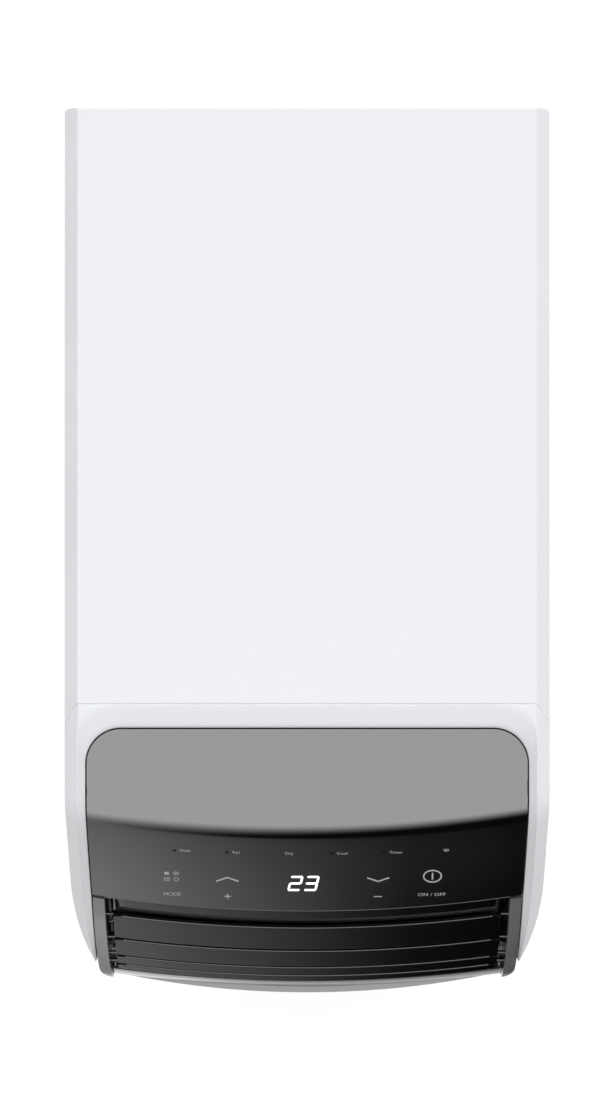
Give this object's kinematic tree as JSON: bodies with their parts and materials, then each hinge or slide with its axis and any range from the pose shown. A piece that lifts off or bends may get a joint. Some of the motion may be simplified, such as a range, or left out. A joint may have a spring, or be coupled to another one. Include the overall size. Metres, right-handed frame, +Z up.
{
  "type": "portable air conditioner",
  "caption": "Floor-standing portable air conditioner on castors, with a sloped black touch panel, curved outlet slats at the front and an exhaust collar at the rear.",
  "frame": {"origin": "centre of the footprint on the floor, under the castors", "axes": "+Z up, -Y towards the air outlet and control panel (front), +Y towards the exhaust (rear), +X towards the right-hand side as seen from above with the front nearest the viewer"},
  "size_m": [0.345, 0.654, 0.7],
  "materials": {
    "white_casing": "satin moulded white plastic",
    "control_glass": "black glossy printed panel",
    "circuit_board": "solder-masked board",
    "dark_frame": "glossy dark grey plastic",
    "sill_grey": "glossy grey plastic",
    "slat_black": "glossy near-black plastic",
    "inner_black": "matte black plastic",
    "motor_steel": "zinc-plated steel",
    "coil_aluminium": "bare fins",
    "compressor_paint": "black paint",
    "copper": "copper tube",
    "rubber": "soft rubber",
    "filter_mesh": "mesh frame",
    "castor_grey": "moulded grey plastic",
    "castor_tread": "hard rubber"
  },
  "bodies": {
    "casing": {"accumulator": "compressor_paint", "base_pan": "white_casing", "blower_bearing": "inner_black", "blower_motor": "motor_steel", "cable_gland": "rubber", "casing_screws": "motor_steel", "compressor": "compressor_paint", "compressor_grommets": "rubber", "condenser_coil": "coil_aluminium", "control_board": "circuit_board", "control_glass": "control_glass", "door_hinge_pins": "motor_steel", "drain_spout": "inner_black", "drain_tray": "inner_black", "electrical_box": "motor_steel", "evaporator_coil": "coil_aluminium", "exhaust_collar": "white_casing", "exhaust_fan_motor": "motor_steel", "fan_scroll": "inner_black", "front_bezel": "white_casing", "front_panel": "white_casing", "left_side_panel": "white_casing", "outlet_cheek_left": "dark_frame", "outlet_cheek_right": "dark_frame", "outlet_duct": "inner_black", "outlet_sill": "sill_grey", "outlet_top_rail": "slat_black", "power_board": "circuit_board", "rear_panel": "white_casing", "refrigerant_pipes": "copper", "right_side_panel": "white_casing", "run_capacitor": "motor_steel", "swing_motor": "motor_steel", "top_cover": "white_casing", "vane_rails": "inner_black", "air_filter": "filter_mesh"},
    "slat_1": {"louvre_slat_1": "slat_black"},
    "slat_2": {"louvre_slat_2": "slat_black"},
    "slat_3": {"louvre_slat_3": "slat_black"},
    "slat_4": {"louvre_slat_4": "slat_black"},
    "slat_link": {"slat_link_bar": "slat_black"},
    "vane_1_body": {"vane_1": "inner_black"},
    "vane_2_body": {"vane_2": "inner_black"},
    "vane_3_body": {"vane_3": "inner_black"},
    "vane_4_body": {"vane_4": "inner_black"},
    "vane_5_body": {"vane_5": "inner_black"},
    "vane_6_body": {"vane_6": "inner_black"},
    "vane_link_body": {"vane_link": "inner_black"},
    "blower": {"blower_rotor": "inner_black"},
    "exhaust_wheel": {"exhaust_fan_wheel": "inner_black"},
    "filter_door_body": {"filter_door": "white_casing"},
    "drain_cap_body": {"drain_cap": "rubber"},
    "castor_1": {"castor_fork_1": "castor_grey"},
    "wheel_1": {"castor_wheel_1": "castor_tread"},
    "castor_2": {"castor_fork_2": "castor_grey"},
    "wheel_2": {"castor_wheel_2": "castor_tread"},
    "castor_3": {"castor_fork_3": "castor_grey"},
    "wheel_3": {"castor_wheel_3": "castor_tread"},
    "castor_4": {"castor_fork_4": "castor_grey"},
    "wheel_4": {"castor_wheel_4": "castor_tread"}
  },
  "joints": [
    {"name": "louvre_1", "type": "hinge", "parent": "casing", "child": "slat_1", "pos_m": [0, -0.25382, 0.60812], "axis": [-1, 0, 0], "range_deg": [0, 55]},
    {"name": "louvre_2", "type": "hinge", "parent": "casing", "child": "slat_2", "pos_m": [0, -0.27322, 0.58616], "axis": [-1, 0, 0], "range_deg": [0, 55]},
    {"name": "louvre_3", "type": "hinge", "parent": "casing", "child": "slat_3", "pos_m": [0, -0.28783, 0.56347], "axis": [-1, 0, 0], "range_deg": [0, 55]},
    {"name": "louvre_4", "type": "hinge", "parent": "casing", "child": "slat_4", "pos_m": [0, -0.29562, 0.54738], "axis": [-1, 0, 0], "range_deg": [0, 55]},
    {"name": "slat_link_pivot", "type": "hinge", "parent": "slat_1", "child": "slat_link", "pos_m": [-0.1456, -0.24182, 0.60812], "axis": [-1, 0, 0], "range_deg": [-55, 0]},
    {"name": "vane_swing_1", "type": "hinge", "parent": "casing", "child": "vane_1_body", "pos_m": [-0.115, -0.2495, 0.53799], "axis": [0, 0.4772, 0.8788], "range_deg": [-32, 32]},
    {"name": "vane_swing_2", "type": "hinge", "parent": "casing", "child": "vane_2_body", "pos_m": [-0.069, -0.2495, 0.53799], "axis": [0, 0.4772, 0.8788], "range_deg": [-32, 32]},
    {"name": "vane_swing_3", "type": "hinge", "parent": "casing", "child": "vane_3_body", "pos_m": [-0.023, -0.2495, 0.53799], "axis": [0, 0.4772, 0.8788], "range_deg": [-32, 32]},
    {"name": "vane_swing_4", "type": "hinge", "parent": "casing", "child": "vane_4_body", "pos_m": [0.023, -0.2495, 0.53799], "axis": [0, 0.4772, 0.8788], "range_deg": [-32, 32]},
    {"name": "vane_swing_5", "type": "hinge", "parent": "casing", "child": "vane_5_body", "pos_m": [0.069, -0.2495, 0.53799], "axis": [0, 0.4772, 0.8788], "range_deg": [-32, 32]},
    {"name": "vane_swing_6", "type": "hinge", "parent": "casing", "child": "vane_6_body", "pos_m": [0.115, -0.2495, 0.53799], "axis": [0, 0.4772, 0.8788], "range_deg": [-32, 32]},
    {"name": "vane_link_pivot", "type": "hinge", "parent": "vane_1_body", "child": "vane_link_body", "pos_m": [-0.115, -0.23369, 0.5294], "axis": [0, 0.4772, 0.8788], "range_deg": [-32, 32]},
    {"name": "blower_spin", "type": "hinge", "parent": "casing", "child": "blower", "pos_m": [0, -0.145, 0.5], "axis": [1, 0, 0], "continuous": true},
    {"name": "exhaust_fan_spin", "type": "hinge", "parent": "casing", "child": "exhaust_wheel", "pos_m": [0.07, 0.1, 0.24], "axis": [0, 1, 0], "continuous": true},
    {"name": "filter_door_hinge", "type": "hinge", "parent": "casing", "child": "filter_door_body", "pos_m": [0, 0.3225, 0.4315], "axis": [-1, 0, 0], "range_deg": [0, 80]},
    {"name": "drain_cap_pull", "type": "slide", "parent": "casing", "child": "drain_cap_body", "axis": [0, 1, 0], "range_m": [0, 0.03]},
    {"name": "castor_swivel_1", "type": "hinge", "parent": "casing", "child": "castor_1", "pos_m": [-0.128, -0.218, 0.05], "axis": [0, 0, 1], "continuous": true},
    {"name": "castor_roll_1", "type": "hinge", "parent": "castor_1", "child": "wheel_1", "pos_m": [-0.128, -0.205, 0.021], "axis": [1, 0, 0], "continuous": true},
    {"name": "castor_swivel_2", "type": "hinge", "parent": "casing", "child": "castor_2", "pos_m": [0.128, -0.218, 0.05], "axis": [0, 0, 1], "continuous": true},
    {"name": "castor_roll_2", "type": "hinge", "parent": "castor_2", "child": "wheel_2", "pos_m": [0.128, -0.205, 0.021], "axis": [1, 0, 0], "continuous": true},
    {"name": "castor_swivel_3", "type": "hinge", "parent": "casing", "child": "castor_3", "pos_m": [-0.138, 0.28, 0.05], "axis": [0, 0, 1], "continuous": true},
    {"name": "castor_roll_3", "type": "hinge", "parent": "castor_3", "child": "wheel_3", "pos_m": [-0.138, 0.293, 0.021], "axis": [1, 0, 0], "continuous": true},
    {"name": "castor_swivel_4", "type": "hinge", "parent": "casing", "child": "castor_4", "pos_m": [0.138, 0.28, 0.05], "axis": [0, 0, 1], "continuous": true},
    {"name": "castor_roll_4", "type": "hinge", "parent": "castor_4", "child": "wheel_4", "pos_m": [0.138, 0.293, 0.021], "axis": [1, 0, 0], "continuous": true}
  ],
  "couplings": [
    {"joint": "louvre_2", "follows": "louvre_1", "ratio": 1},
    {"joint": "louvre_3", "follows": "louvre_1", "ratio": 1},
    {"joint": "louvre_4", "follows": "louvre_1", "ratio": 1},
    {"joint": "slat_link_pivot", "follows": "louvre_1", "ratio": -1},
    {"joint": "vane_swing_2", "follows": "vane_swing_1", "ratio": 1},
    {"joint": "vane_swing_3", "follows": "vane_swing_1", "ratio": 1},
    {"joint": "vane_swing_4", "follows": "vane_swing_1", "ratio": 1},
    {"joint": "vane_swing_5", "follows": "vane_swing_1", "ratio": 1},
    {"joint": "vane_swing_6", "follows": "vane_swing_1", "ratio": 1},
    {"joint": "vane_link_pivot", "follows": "vane_swing_1", "ratio": -1}
  ]
}
